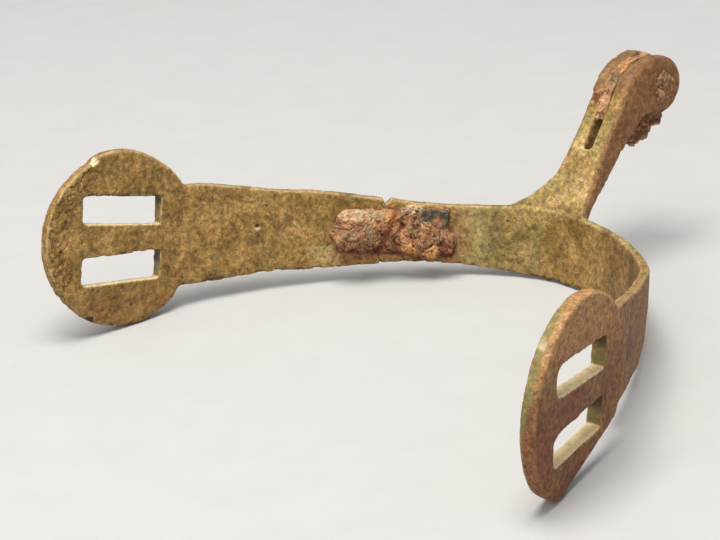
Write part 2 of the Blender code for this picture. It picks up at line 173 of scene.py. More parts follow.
class Skin:
    """A finely meshed piece, whose points are pushed and painted with one number for each point."""

    def __init__(self, name, source, voxel, rounds):
        thing = bpy.data.objects.new(name, source)
        bpy.context.scene.collection.objects.link(thing)
        fine = thing.modifiers.new("fine", "REMESH")
        fine.mode = "VOXEL"
        fine.voxel_size = voxel
        graph = bpy.context.evaluated_depsgraph_get()
        mesh = bpy.data.meshes.new_from_object(thing.evaluated_get(graph))
        thing.modifiers.clear()
        thing.data = mesh
        mesh.shade_smooth()
        self.thing, self.mesh, self.voxel = thing, mesh, voxel
        count = len(mesh.vertices)
        pairs = np.zeros(2 * len(mesh.edges), np.int64)
        mesh.edges.foreach_get("vertices", pairs)
        self.first, self.second = pairs.reshape(-1, 2).T
        self.degree = np.bincount(self.first, minlength=count) + np.bincount(self.second, minlength=count)
        self.look()
        self.soften(rounds)
        self.run, self.off = BRANCH.run_of(self.places)

    def soften(self, rounds):
        """Smooth away the small steps that remeshing leaves along slanting edges."""
        self.points = np.stack([self.spread(self.points[:, k], rounds) for k in range(3)], axis=1)
        self.mesh.vertices.foreach_set("co", self.points.ravel())
        self.mesh.update()
        self.look()

    def look(self):
        """Read where the points are now and which way they face, in the spur's own axes."""
        count = len(self.mesh.vertices)
        self.points = np.zeros(3 * count)
        self.mesh.vertices.foreach_get("co", self.points)
        self.points = self.points.reshape(-1, 3)
        self.normals = np.zeros(3 * count)
        self.mesh.vertex_normals.foreach_get("vector", self.normals)
        self.normals = self.normals.reshape(-1, 3)
        back = np.array(SPUR.inverted())
        self.places = self.points @ back[:3, :3].T + back[:3, 3]
        self.faces = self.normals @ np.array(SPUR.to_3x3()) / MM
        self.spots = [Vector(place) for place in self.places]

    def shift(self, moves):
        """Move each point by a vector, in mm in the spur's own axes."""
        self.points += moves @ np.array(SPUR.to_3x3()).T
        self.mesh.vertices.foreach_set("co", self.points.ravel())
        self.mesh.update()
        self.look()

    def push(self, heights):
        """Move each point along its normal by a height in mm."""
        self.shift(self.faces * heights[:, None])

    def spread(self, values, rounds=1):
        """Average each point's value with its neighbours', some rounds over."""
        for _ in range(rounds):
            total = np.bincount(self.first, values[self.second], len(values))
            total += np.bincount(self.second, values[self.first], len(values))
            values = 0.5 * values + 0.5 * total / np.maximum(self.degree, 1)
        return values

    def bend(self, rounds):
        """Return how sharply the surface sticks out (+) or folds in (-) at each point."""
        mean = np.stack([self.spread(self.points[:, k]) for k in range(3)], axis=1)
        sharp = -2.0 * ((mean - self.points) * self.normals).sum(axis=1) / self.voxel
        return self.spread(sharp, rounds)

    def paint(self, name, values):
        """Store a number from 0 to 1 for each point, which the material reads by name."""
        layer = self.mesh.attributes.new(name, "FLOAT", "POINT")
        layer.data.foreach_set("value", np.clip(values, 0.0, 1.0).astype(np.float32))

    def dress(self, material, body, slot, *nodes):
        """Give the piece its material, hang it on its body, and hide the CAD nodes it stands for."""
        self.mesh.materials.clear()
        self.mesh.materials.append(material)
        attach(self.thing, body)
        if nodes:
            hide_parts(*nodes)


def as_mesh(builder, name):
    """Turn a bmesh into a mesh whose faces point out."""
    bmesh.ops.recalc_face_normals(builder, faces=builder.faces)
    mesh = bpy.data.meshes.new(name)
    builder.to_mesh(mesh)
    builder.free()
    return mesh


def cad_mesh(node):
    """Return a copy of a CAD node's mesh."""
    return frame["nodes"][node].data.copy()


def paint_all(skin, masks, *names):
    """Paint every mask that a material reads; one that isn't given is 0."""
    for name in names:
        skin.paint(name, masks.get(name, np.zeros(len(skin.spots))))


# ---------------------------------------------------------------- material nodes

class Shader:
    """A material under construction, with short names for the nodes that it is made of."""

    # The colour sockets of a mix node, which shares their names with its number and vector sockets.
    COLOUR_UNDER, COLOUR_OVER = 6, 7
    COLOUR_OUT = 2

    def __init__(self, name):
        self.material = bpy.data.materials.new(name)
        self.material.use_nodes = True
        self.nodes = self.material.node_tree.nodes
        self.links = self.material.node_tree.links
        self.surface = self.nodes["Principled BSDF"]
        coordinates = self.nodes.new("ShaderNodeTexCoord")
        self.millimetres = self.nodes.new("ShaderNodeMapping")
        self.millimetres.inputs["Scale"].default_value = (1 / MM, 1 / MM, 1 / MM)
        self.links.new(coordinates.outputs["Object"], self.millimetres.inputs["Vector"])

    def feed(self, socket, value):
        """Set a socket to a number or colour, or link it to another socket."""
        if isinstance(value, bpy.types.NodeSocket):
            self.links.new(value, socket)
        elif isinstance(value, tuple):
            socket.default_value = (*value, 1.0)
        else:
            socket.default_value = value

    def grain(self, size, detail=3.0, rough=0.6, warp=0.0, stretch=None):
        """Return noise from 0 to 1 with features about size mm across."""
        node = self.nodes.new("ShaderNodeTexNoise")
        node.inputs["Scale"].default_value = 1.0 / size
        node.inputs["Detail"].default_value = detail
        node.inputs["Roughness"].default_value = rough
        node.inputs["Distortion"].default_value = warp
        place = self.millimetres.outputs["Vector"]
        if stretch:
            turn = self.nodes.new("ShaderNodeMapping")
            turn.inputs["Rotation"].default_value = stretch[0]
            turn.inputs["Scale"].default_value = stretch[1]
            self.links.new(place, turn.inputs["Vector"])
            place = turn.outputs["Vector"]
        self.links.new(place, node.inputs["Vector"])
        return node.outputs["Fac"]

    def painted(self, name):
        """Return a value painted on the mesh."""
        node = self.nodes.new("ShaderNodeAttribute")
        node.attribute_name = name
        return node.outputs["Fac"]

    def blend(self, value, low, high, start=0.0, stop=1.0):
        """Return start to stop as a value goes from low to high."""
        node = self.nodes.new("ShaderNodeMapRange")
        node.interpolation_type = "SMOOTHSTEP"
        self.feed(node.inputs["Value"], value)
        for name, number in (("From Min", low), ("From Max", high), ("To Min", start), ("To Max", stop)):
            node.inputs[name].default_value = number
        return node.outputs["Result"]

    def times(self, first, second):
        """Return the product of two values."""
        node = self.nodes.new("ShaderNodeMath")
        node.operation = "MULTIPLY"
        self.feed(node.inputs[0], first)
        self.feed(node.inputs[1], second)
        return node.outputs[0]

    def colours(self, value, *stops):
        """Return a colour from (place, colour) stops."""
        node = self.nodes.new("ShaderNodeValToRGB")
        ramp = node.color_ramp
        while len(ramp.elements) < len(stops):
            ramp.elements.new(0.5)
        for element, (place, colour) in zip(ramp.elements, stops):
            element.position = place
            element.color = (*colour, 1.0)
        self.feed(node.inputs["Fac"], value)
        return node.outputs["Color"]

    def mix(self, amount, under, over, way="MIX"):
        """Return one colour mixed over another."""
        node = self.nodes.new("ShaderNodeMix")
        node.data_type = "RGBA"
        node.blend_type = way
        self.feed(node.inputs["Factor"], amount)
        self.feed(node.inputs[self.COLOUR_UNDER], under)
        self.feed(node.inputs[self.COLOUR_OVER], over)
        return node.outputs[self.COLOUR_OUT]

    def bump(self, height, depth, under=None):
        """Return a normal that rises by depth mm as the height goes from 0 to 1."""
        node = self.nodes.new("ShaderNodeBump")
        node.inputs["Distance"].default_value = depth * MM
        self.feed(node.inputs["Height"], height)
        if under is not None:
            self.links.new(under, node.inputs["Normal"])
        return node.outputs["Normal"]

    def finish(self, colour, roughness, metallic, normal):
        """Wire up the surface and return the material."""
        self.feed(self.surface.inputs["Base Color"], colour)
        self.feed(self.surface.inputs["Roughness"], roughness)
        self.feed(self.surface.inputs["Metallic"], metallic)
        self.links.new(normal, self.surface.inputs["Normal"])
        return self.material


# Colours are linear red, green and blue.
OLIVE = (0.152, 0.096, 0.023)
KHAKI = (0.270, 0.163, 0.048)
TAN = (0.380, 0.228, 0.082)
UMBER = (0.122, 0.063, 0.026)
GREENISH = (0.170, 0.152, 0.050)
PINKISH = (0.380, 0.152, 0.068)
UPPER_SHADE_BROWN = (0.355, 0.185, 0.078)
LOWER_SHADE_BROWN = (0.178, 0.066, 0.032)
PALE_CRUST_AND_HIGHLIGHT = (0.490, 0.385, 0.175)
STAIN_STOPS = (0.35, (0.115, 0.045, 0.022)), (0.55, (0.330, 0.140, 0.050)), (0.70, (0.420, 0.232, 0.108))
RUBBED_EDGE_AND_HIGHLIGHT = (0.520, 0.400, 0.215)
VERDIGRIS = (0.150, 0.165, 0.072)
SILL_HIGHLIGHT_TAN = (0.560, 0.425, 0.225)
SILL_HIGHLIGHT_CREAM = (0.740, 0.585, 0.340)
PIT_BLACK = (0.045, 0.028, 0.014)
BARED_METAL_AND_HIGHLIGHT = (0.540, 0.470, 0.300)
DARK_MARK_AND_SHADE = (0.050, 0.026, 0.022)

# Factors that the colours under them are multiplied by.
SCALE_STOPS = (0.35, (0.46, 0.42, 0.38)), (0.50, (1.0, 1.0, 1.0)), (0.65, (1.60, 1.56, 1.45))
GRIT_STOPS = (0.34, (0.58, 0.55, 0.52)), (0.50, (1.0, 1.0, 1.0)), (0.66, (1.50, 1.47, 1.40))
HIGHLIGHT_AND_PALER_TINT = (1.08, 1.27, 1.42)

# Fine scratches are noise drawn out one way: how the noise is turned, and how each of its axes is scaled.
SCRATCH_STRETCH = (0.3, 0.7, 0.5), (0.07, 1.0, 1.0)

OLD_SURFACE_SPECULAR = 0.25
ALLOY_METALLIC = 0.15


def mottled_alloy(it, scales, grain):
    """Return the patina's colour: mottled olive on the inside; the outsides are painted browner and redder as
    painted shade with a painted reddish reflection, darker towards the bottom.
    """
    colour = it.colours(it.grain(6.0, 5.0, 0.62, 0.6), (0.34, OLIVE), (0.50, KHAKI), (0.66, TAN))
    colour = it.mix(it.blend(it.grain(3.8, 4.0, 0.6, 1.2), 0.53, 0.66, 0.0, 0.60), colour, UMBER)
    colour = it.mix(it.blend(it.grain(3.0, 5.0, 0.7), 0.50, 0.64, 0.0, 0.50), colour, GREENISH)
    colour = it.mix(it.blend(it.grain(1.5, 4.0, 0.7), 0.54, 0.68, 0.0, 0.50), colour, PINKISH)
    # The outsides: painted shade with a painted reddish reflection, darker where low is painted.
    brown = it.times(it.painted("outer"), it.blend(it.grain(4.0, 4.0, 0.6), 0.35, 0.60, 0.62, 0.94))
    colour = it.mix(brown, colour, it.mix(it.painted("low"), UPPER_SHADE_BROWN, LOWER_SHADE_BROWN))
    colour = it.mix(0.75, colour, it.colours(scales, *SCALE_STOPS), "MULTIPLY")
    return it.mix(0.7, colour, it.colours(grain, *GRIT_STOPS), "MULTIPLY")


def marked_alloy(it, colour):
    """Lay over the patina what is painted on the mesh: crusts, stains, rubbed edges, pits and marks, with
    painted highlights on edges, slot sills and the neck, and painted shade in the slots.
    """
    speckle = it.times(it.painted("pale"), it.blend(it.grain(0.9, 4.0, 0.75), 0.44, 0.58))
    # Pale crust speckle; on the neck's up-facing top it is a painted highlight.
    colour = it.mix(it.times(speckle, 0.8), colour, PALE_CRUST_AND_HIGHLIGHT)
    # On the neck's up-facing faces this is a painted highlight; inside the heel it only makes the patina
    # paler.
    colour = it.mix(it.painted("highlight_and_paler"), colour, HIGHLIGHT_AND_PALER_TINT, "MULTIPLY")
    stain = it.times(it.painted("rust"), it.blend(it.grain(1.1, 5.0, 0.75), 0.36, 0.62))
    colour = it.mix(stain, colour, it.colours(it.grain(0.9, 4.0, 0.7), *STAIN_STOPS))
    # Pale arrises on edges that don't face down: partly rubbed wear, partly a painted highlight.
    rim = it.times(it.painted("edge"), it.blend(it.grain(1.6, 3.0, 0.6), 0.34, 0.54))
    colour = it.mix(it.times(rim, 0.75), colour, RUBBED_EDGE_AND_HIGHLIGHT)
    hollow = it.times(it.painted("hollow"), it.blend(it.grain(1.2, 3.0, 0.6), 0.40, 0.62, 0.2, 0.85))
    colour = it.mix(hollow, colour, VERDIGRIS)
    # The slots' up-facing lower walls painted pale: a painted highlight.
    sill = it.times(it.painted("sill"), it.blend(it.grain(2.2, 4.0, 0.6), 0.34, 0.50, 0.70, 1.0))
    colour = it.mix(sill, colour, it.mix(it.grain(0.7, 3.0, 0.6), SILL_HIGHLIGHT_TAN, SILL_HIGHLIGHT_CREAM))
    colour = it.mix(it.times(it.painted("pit"), 0.85), colour, PIT_BLACK)
    # Bared metal in chips and nicks; on the struck pit's lower rim, a painted highlight.
    colour = it.mix(it.painted("bared_metal_and_highlight"), colour, BARED_METAL_AND_HIGHLIGHT)
    # Dark marks: the crack, spots, pits and patches, a darker head top and near turn, and painted shade in
    # the slots.
    return it.mix(it.painted("dark"), colour, DARK_MARK_AND_SHADE)


def patina():
    """Old copper alloy: olive and khaki patina with darker, greener and redder patches, scales and pits."""
    it = Shader("copper_alloy_patina")
    scales = it.grain(0.85, 4.0, 0.68, 0.3)
    grain = it.grain(0.27, 3.0, 0.75)
    colour = marked_alloy(it, mottled_alloy(it, scales, grain))
    roughness = it.blend(it.grain(0.8, 4.0, 0.7), 0.30, 0.70, 0.48, 0.80)
    normal = it.bump(it.grain(0.16, 2.0, 0.5, 0.0, SCRATCH_STRETCH), 0.020)
    normal = it.bump(grain, 0.050, normal)
    normal = it.bump(scales, 0.160, normal)
    it.surface.inputs["Specular IOR Level"].default_value = OLD_SURFACE_SPECULAR
    return it.finish(colour, roughness, ALLOY_METALLIC, normal)


CRUST_STOPS = (
    (0.32, (0.080, 0.026, 0.016)), (0.45, (0.215, 0.084, 0.038)),
    (0.56, (0.365, 0.170, 0.072)), (0.70, (0.520, 0.335, 0.180)),
)
MOSS_BROWN = (0.235, 0.180, 0.088)
OCHRE = (0.620, 0.290, 0.075)
BARE_IRON_STOPS = (0.36, (0.030, 0.029, 0.022)), (0.52, (0.068, 0.064, 0.046)), (0.62, (0.210, 0.108, 0.050))
PALE_BLOOM_AND_HIGHLIGHT = (0.560, 0.450, 0.270)
PALE_CREST_AND_HIGHLIGHT = (0.540, 0.365, 0.205)
DEEP_RED_AND_SHADOW = (0.095, 0.012, 0.007)
RUST_GRIT_STOPS = (0.32, (0.45, 0.42, 0.40)), (0.52, (1.0, 1.0, 1.0)), (0.70, (1.7, 1.65, 1.55))


def rust():
    """Iron gone to rust: flaky brown crusts, red in the hollows and in painted shadow, with ochre, pale and
    bare patches and painted highlights on crests and ridges.
    """
    it = Shader("iron_rust")
    colour = it.colours(it.grain(1.8, 5.0, 0.68, 0.8), *CRUST_STOPS)
    colour = it.mix(it.blend(it.grain(2.0, 4.0, 0.65), 0.48, 0.60, 0.0, 0.72), colour, MOSS_BROWN)
    ochre = it.times(it.painted("ochre"), it.blend(it.grain(0.9, 4.0, 0.7), 0.32, 0.55))
    colour = it.mix(ochre, colour, OCHRE)
    colour = it.mix(it.painted("bare"), colour, it.colours(it.grain(0.9, 4.0, 0.7), *BARE_IRON_STOPS))
    bloom = it.times(it.painted("pale"), it.blend(it.grain(0.6, 4.0, 0.7), 0.36, 0.56))
    # Pale bloom, and a painted highlight along the top edge of the repair's left lump.
    colour = it.mix(bloom, colour, PALE_BLOOM_AND_HIGHLIGHT)
    # Pale crests: partly the rust's own colour, partly a painted highlight.
    colour = it.mix(it.times(it.painted("crest"), 0.50), colour, PALE_CREST_AND_HIGHLIGHT)
    # Dark red in hollows, and painted shadow under the repair's lumps, in its crevice and under the rowel's
    # cheeks.
    colour = it.mix(it.times(it.painted("deep"), 0.88), colour, DEEP_RED_AND_SHADOW)
    grain = it.grain(0.22, 3.0, 0.8)
    colour = it.mix(0.55, colour, it.colours(grain, *RUST_GRIT_STOPS), "MULTIPLY")
    roughness = it.blend(it.grain(0.5, 4.0, 0.7), 0.30, 0.70, 0.72, 0.98)
    it.surface.inputs["Specular IOR Level"].default_value = OLD_SURFACE_SPECULAR
    return it.finish(colour, roughness, 0.0, it.bump(grain, 0.060))


PATINA = patina()
RUST = rust()


# ---------------------------------------------------------------- the casting

# How far above and below a terminal's middle its slots' middles are, and half a slot's height, in mm.
SLOT_MIDDLE = 4.7
SLOT_HALF = 2.3


class Terminal:
    """A round terminal's plate: the centre of its inner face in mm, and which way it lies, in degrees."""

    def __init__(self, centre, side, radius, yaw, roll, pitch):
        yaw, roll, pitch = math.radians(yaw), math.radians(roll), math.radians(pitch)
        level = Vector((math.cos(yaw), math.sin(yaw), 0.0))
        up = Vector((0.0, 0.0, 1.0))
        leaning = up * math.cos(roll) + up.cross(level) * math.sin(roll)
        self.forward = level * math.cos(pitch) + leaning * math.sin(pitch)
        self.up = leaning * math.cos(pitch) - level * math.sin(pitch)
        self.outward = self.up.cross(self.forward) * side
        self.centre, self.radius = centre, radius

    def around(self, skin):
        """Return each point's direction in degrees from forward towards up, its distance, and its depth."""
        away = skin.places - np.array(self.centre)
        ahead, above = away @ np.array(self.forward), away @ np.array(self.up)
        return np.degrees(np.arctan2(above, ahead)), np.hypot(ahead, above), away @ np.array(self.outward)

    def walls(self, skin):
        """Return how far each point belongs to a slot's lower, upper and end walls, and to the front rim."""
        angle, reach, depth = self.around(skin)
        beside = (np.abs(depth) < 4.0) & (np.abs(skin.faces @ np.array(self.outward)) < 0.75)
        inside = beside & (reach < self.radius - 1.5)
        upright = skin.faces @ np.array(self.up)
        lower, upper = inside * ease(upright, 0.4, 0.8), inside * ease(upright, -0.3, -0.6)
        ends = inside * ease(np.abs(skin.faces @ np.array(self.forward)), 0.4, 0.8)
        front = beside & (reach > self.radius - 0.8) & (reach < self.radius + 1.5)
        return lower, upper, ends, front * ease(angle, -60.0, 0.0) * ease(angle, 85.0, 60.0)

    def under_lintel(self, skin):
        """Return 1 just below the top of each slot, easing to 0 further down; painted shade goes there on the
        slots' end walls.
        """
        above = (skin.places - np.array(self.centre)) @ np.array(self.up)
        tops = [row * SLOT_MIDDLE + SLOT_HALF for row in (1, -1)]
        return np.maximum.reduce([ease(above, top - 2.6, top - 1.0) * (above < top + 0.3) for top in tops])


FAR = Terminal(Vector((-0.2, -46.4, 0.6)), -1, 14.3, -7.9, -6.5, 4.5)
NEAR = Terminal(Vector((0.5, 45.3, -0.1)), 1, 14.0, 13.3, 1.1, -4.2)

# Corrosion bites the casting's lower edge on this side of a line, in mm across, and this deep, in mm.
BITTEN_SIDE = 25.0
BITE_DEPTH = 0.22

# How much a bend in the surface counts as an edge, as a sharp arris past a threshold, or as a fold.
EDGE_GAIN = 9.0
ARRIS_GAIN = 26.0
ARRIS_THRESHOLD = 1.15
FOLD_GAIN = -7.0


def weather(skin, seed, terminal, ragged):
    """Wear, ripple and pit a piece of the casting all over, and return what to paint where."""
    edge = np.clip(EDGE_GAIN * skin.bend(2), 0.0, 1.0)
    arris = np.clip(ARRIS_GAIN * skin.bend(1) - ARRIS_THRESHOLD, 0.0, 1.0)
    fold = np.clip(FOLD_GAIN * skin.bend(5), 0.0, 1.0)
    lower, upper, ends, front = terminal.walls(skin)
    low = np.clip(2.5 * skin.spread(edge * ease(skin.faces[:, 2], -0.10, -0.40), 5), 0.0, 1.0)
    low *= skin.places[:, 1] < BITTEN_SIDE
    bitten = low * ease(rumple(skin.spots, 1.6, seed + 40.0, 3), 0.02, 0.20)
    wander = rumple(skin.spots, 2.2, seed + 3.1, 3) + 0.6 * rumple(skin.spots, 8.0, seed + 8.4)
    skin.push(edge * (ragged * wander - 0.05) - BITE_DEPTH * bitten)
    swell = rumple(skin.spots, 11.0, seed) * 0.10 + rumple(skin.spots, 3.4, seed + 5.0, 3) * 0.07
    big = pits(skin.spots, 2.9, 0.60, 0.24, seed)
    small = pits(skin.spots, 1.5, 0.36, 0.26, seed + 20.0)
    scales = rumple(skin.spots, 0.95, seed + 9.0, 3)
    skin.push(swell + 0.06 * scales - 0.12 * big - 0.13 * small)
    return {
        # Edges that don't face down: partly rubbed wear, partly a painted highlight.
        "edge": arris * ease(skin.faces[:, 2], -0.75, -0.35),
        # The slots' up-facing lower walls, painted pale as a painted highlight.
        "sill": lower,
        "hollow": np.maximum.reduce([fold, ends, 0.9 * front]),
        "pit": np.maximum.reduce([0.6 * big ** 2, ease(small, 0.2, 0.8), 0.9 * bitten]),
        # Painted shade on the slots' down-facing upper walls and high on their end walls.
        "dark": np.maximum(0.75 * upper, 0.8 * ends * terminal.under_lintel(skin)),
    }


# How far each side of the fracture moves to close it, in mm, below the nick in its upper end.
CRACK_CLOSING = 0.21


def crack_wander(skin):
    """Let the fracture across the far branch wander and close up on both sides; return where its lips are."""
    point, inward = BRANCH.place(BREAK_AT * BRANCH.length, 0.0)
    travel = np.array((inward.y, -inward.x, 0.0))
    ahead = (skin.places - np.array(point)) @ travel
    branch = skin.off < 4.0
    hold = ease(np.abs(ahead), 3.5, 0.4) * branch
    rise = skin.places[:, 2]
    wander = np.array([noise.noise(Vector((0.0, 3.3, level / 2.4))) for level in rise]) * 0.9
    wander -= 1.0 * ease(rise, 1.5, 4.0) + 0.35 * (ahead < 0.0) * ease(rise, 4.2, 5.4)
    close = -CRACK_CLOSING * np.sign(ahead) * ease(np.abs(ahead), 0.9, 0.2) * branch * ease(rise, 4.9, 4.5)
    skin.shift(travel * (hold * wander + close)[:, None])
    return 0.8 * ease(np.abs(ahead), 0.32, 0.10) * branch * (rise < 4.6)


def rust_stain(skin):
    """Return how much rust from the iron repair and from the rowel box stains each point."""
    rise = skin.places[:, 2]
    away = np.maximum(np.abs(skin.run - 29.5) - 9.0, 0.0) + np.maximum(np.abs(rise + 0.9) - 3.4, 0.0)
    stain = ease(away + 1.2 * rumple(skin.spots, 2.4, 4.0, 3), 2.2, 0.0) * (skin.off < 3.0)
    heelward = ease(skin.run + 1.5 * rumple(skin.spots, 1.8, 52.0, 3), 14.5, 19.5) * (skin.run < 21.0)
    stain = np.maximum(stain, 0.75 * heelward * (skin.off < 1.2) * ease(skin.faces[:, 1], 0.0, 0.4))
    head = np.linalg.norm(skin.places - np.array(PIN_CENTRE), axis=1)
    on_top = ease(skin.faces[:, 2], 0.2, 0.8)
    head_stain = ease(head + 1.5 * rumple(skin.spots, 2.0, 6.0, 3), 12.5, 6.5) * (0.30 + 0.70 * on_top)
    return np.maximum(stain, 1.1 * head_stain)


def pale_crust(skin):
    """Return where a pale crust speckles the inside of the far branch round the iron repair."""
    rise = skin.places[:, 2]
    heelward = ease(skin.run, 9.0, 16.0) * ease(skin.run, 21.0, 19.5)
    below = ease(skin.run, 36.0, 38.5) * ease(skin.run, 45.0, 41.0) * ease(rise, -1.8, -3.0)
    sill = ease(skin.run, 19.0, 22.0) * ease(skin.run, 32.0, 31.0) * ease(rise, -3.6, -4.4)
    inner = (skin.off < 1.2) & (skin.faces[:, 1] > 0.3)
    return inner * np.maximum.reduce([0.28 * heelward, 0.9 * below, 0.6 * sill])


PATINA_MASKS = ("outer", "low", "pale", "highlight_and_paler", "rust", "edge", "sill", "hollow", "pit", "bared_metal_and_highlight", "dark")

# The axes of a small slanting box, as columns.
FACET_AXES = np.array(((0.8, 0.0, 0.6), (0.0, 1.0, 0.0), (-0.6, 0.0, 0.8)))


def facet(skin, place, half):
    """Return 1 in a small slanting box round a place, easing to 0 past its faces, half a side away."""
    away = skin.places - np.array(place)
    lean = np.abs(away @ FACET_AXES).max(axis=1)
    return ease(lean, half + 0.45, half - 0.1)


# ---- the far branch: places in mm, and the direction in degrees of the step where its rim is chipped

CHIP_PLACE = Vector((4.4, -48.7, 13.9))
CHIP_HALF = 0.50
CHIP_DIRECTION = 65.5
SPOT_PLACE = Vector((6.8, -46.1, -11.6))
STRUCK_PIT_PLACE = Vector((-23.1, -39.2, 0.6))
STRUCK_PIT_RADIUS = 0.55
STRUCK_RING_RADIUS = 0.85
STRUCK_RING_DROP = Vector((0.0, 0.0, 0.35))


def reshape_far_rim(skin):
    """Wear the far rim flat in front of the chip, bulge it behind; return directions and distances."""
    angle, reach, depth = FAR.around(skin)
    rim = ease(reach, FAR.radius - 1.8, FAR.radius - 0.2)
    worn_flat = ease(angle, CHIP_DIRECTION + 1.0, CHIP_DIRECTION - 2.0) * ease(angle, 5.0, 55.0)
    bulge = ease(angle, CHIP_DIRECTION, CHIP_DIRECTION + 3.0) * ease(angle, 120.0, 88.0)
    away = skin.places - np.array(FAR.centre)
    away -= np.outer(depth, np.array(FAR.outward))
    outward = away / np.maximum(reach, 1.0)[:, None]
    skin.shift(outward * (rim * (0.20 * bulge - 0.42 * worn_flat))[:, None])
    return angle, reach


def front_flaking(skin, angle, reach):
    """Return where the far terminal's inner face is flaked, along its front edge."""
    front = ease(angle + 8.0 * rumple(skin.spots, 3.0, 2.0), -55.0, -25.0) * ease(angle, 75.0, 50.0)
    front *= ease(reach, FAR.radius - 5.5, FAR.radius - 2.0) * ease(reach, FAR.radius - 0.1, FAR.radius - 0.7)
    front *= ease(-skin.faces @ np.array(FAR.outward), 0.5, 0.9)
    return front * ease(np.abs(rumple(skin.spots, 1.3, 31.0, 3)), 0.22, 0.04)


def far_branch():
    """The broken-off branch with its terminal: chipped rim, flaked front edge, one struck pit."""
    skin = Skin("far_branch_patinated", cad_mesh("far_branch"), CASTING_VOXEL, CASTING_SOFTENING)
    lips = crack_wander(skin)
    angle, reach = reshape_far_rim(skin)
    masks = weather(skin, 1.0, FAR, 0.10)
    masks["hollow"] *= reach < FAR.radius - 1.5
    chip = facet(skin, CHIP_PLACE, CHIP_HALF)
    flakes = front_flaking(skin, angle, reach)
    skin.push(-0.38 * chip - 0.24 * flakes)
    pit = near(skin.spots, STRUCK_PIT_PLACE, STRUCK_PIT_RADIUS)
    ring = near(skin.spots, STRUCK_PIT_PLACE - STRUCK_RING_DROP, STRUCK_RING_RADIUS) * (1.0 - pit)
    skin.push(0.22 * ring - 0.45 * pit)
    masks["pale"] = pale_crust(skin)
    # The outer face: painted shade with a painted reddish reflection.
    masks["outer"] = 0.85 * ease(-skin.faces[:, 1], -0.2, 0.6)
    masks["low"] = np.full(len(skin.spots), 0.6)
    # The chip is bared metal; the pale ring below the struck pit is a painted highlight.
    masks["bared_metal_and_highlight"] = np.maximum(ease(chip, 0.15, 0.30), 0.8 * ease(ring, 0.3, 0.8))
    square = np.abs(skin.places - np.array(SPOT_PLACE)).max(axis=1)
    spot = ease(square, 0.62, 0.45)
    masks["dark"] = np.maximum.reduce([masks["dark"], lips, spot, 0.8 * ease(pit, 0.3, 0.8)])
    masks["pit"] = np.maximum(masks["pit"], 0.45 * flakes)
    warm = ease(skin.places[:, 2], -5.0, -10.0) * (reach < FAR.radius + 1.0)
    masks["rust"] = np.maximum(rust_stain(skin), 0.55 * warm)
    paint_all(skin, masks, *PATINA_MASKS)
    skin.dress(PATINA, "spur", "cast_copper_alloy", "far_branch")


# ---- the heel, the neck and the near terminal: places in mm

SLIT_SIDES = (-1.5, 0.1)
FORK_CRUST_RISE = 24.9
FORK_CRUST_PEAK = (-73.5, -3.0, 30.4)
PIN_RUST_OFFSET = Vector((-0.10, 0.0, -0.20))
SOCKET_OFFSET = Vector((0.0, 3.5, 0.0))
SOCKET_RADIUS = 3.2
FLAKE_PLACE = (-66.9, -2.9, 27.3)
DARK_PATCH_PLACE = Vector((-22.0, 40.6, 0.6))
NICK_PLACE = Vector((10.4, 48.6, 9.6))
NICK_HALF = 0.45


def fork_crust(skin):
    """Return how thick rust lies on top of the fork's cheeks: a layer on the far one, a skin on the near."""
    on_top = ease(skin.faces[:, 0] + skin.faces[:, 2], 0.5, 1.0) * (skin.places[:, 0] < -60.0)
    rise = skin.places[:, 2] + 0.35 * rumple(skin.spots, 1.5, 44.0, 3)
    above = ease(rise, FORK_CRUST_RISE - 0.25, FORK_CRUST_RISE + 0.15) * ease(skin.places[:, 0], -77.0, -74.0)
    far = (skin.places[:, 1] < SLIT_SIDES[0] + 0.1) * (0.32 + 0.09 * rumple(skin.spots, 1.1, 45.0, 3))
    peak = 0.15 * near(skin.spots, FORK_CRUST_PEAK, 3.0)
    close = (skin.places[:, 1] > SLIT_SIDES[1] - 0.1) * (0.12 + 0.10 * rumple(skin.spots, 1.1, 46.0, 3))
    return on_top * above * np.maximum(far + peak * (far > 0.0), close)


def paint_neck(skin, masks):
    """Paint pale crusts, a painted highlight on the neck's up-facing faces, a paler inside of the heel, and
    darken the head's top and near turn.
    """
    along, across, rise = skin.places.T
    facing_up = skin.faces[:, 2]
    neck_top = (along < -57.0) * ease(facing_up, 0.4, 0.8) * ease(rise, 24.0, 19.0)
    flake = 0.8 * near(skin.spots, FLAKE_PLACE, 1.8)
    # The pale speckle on the neck's up-facing top is a painted highlight.
    masks["pale"] = np.maximum.reduce([pale_crust(skin), flake, 0.8 * neck_top])
    neck_face = (along < -48.0) * ease(facing_up, 0.2, 0.6) * ease(rise, 25.0, 20.0)
    heel = ease(skin.run, 1.0, 6.0) * ease(skin.run, 21.0, 17.0) * (skin.off < 1.2)
    heel *= ease(skin.faces[:, 1], 0.0, 0.4)
    # On the neck's up-facing faces: a painted highlight.
    masks["highlight_and_paler"] = np.maximum(neck_face, 0.9 * heel)
    head_top = (along < -50.0) * ease(facing_up, 0.2, 0.7) * ease(rise, 23.0, 26.0)
    turn = ease(skin.faces[:, 0], 0.2, 0.6) * ease(across, 6.0, 14.0) * (along < -24.0)
    masks["dark"] = np.maximum.reduce([masks["dark"], 0.38 * head_top, 0.25 * turn])


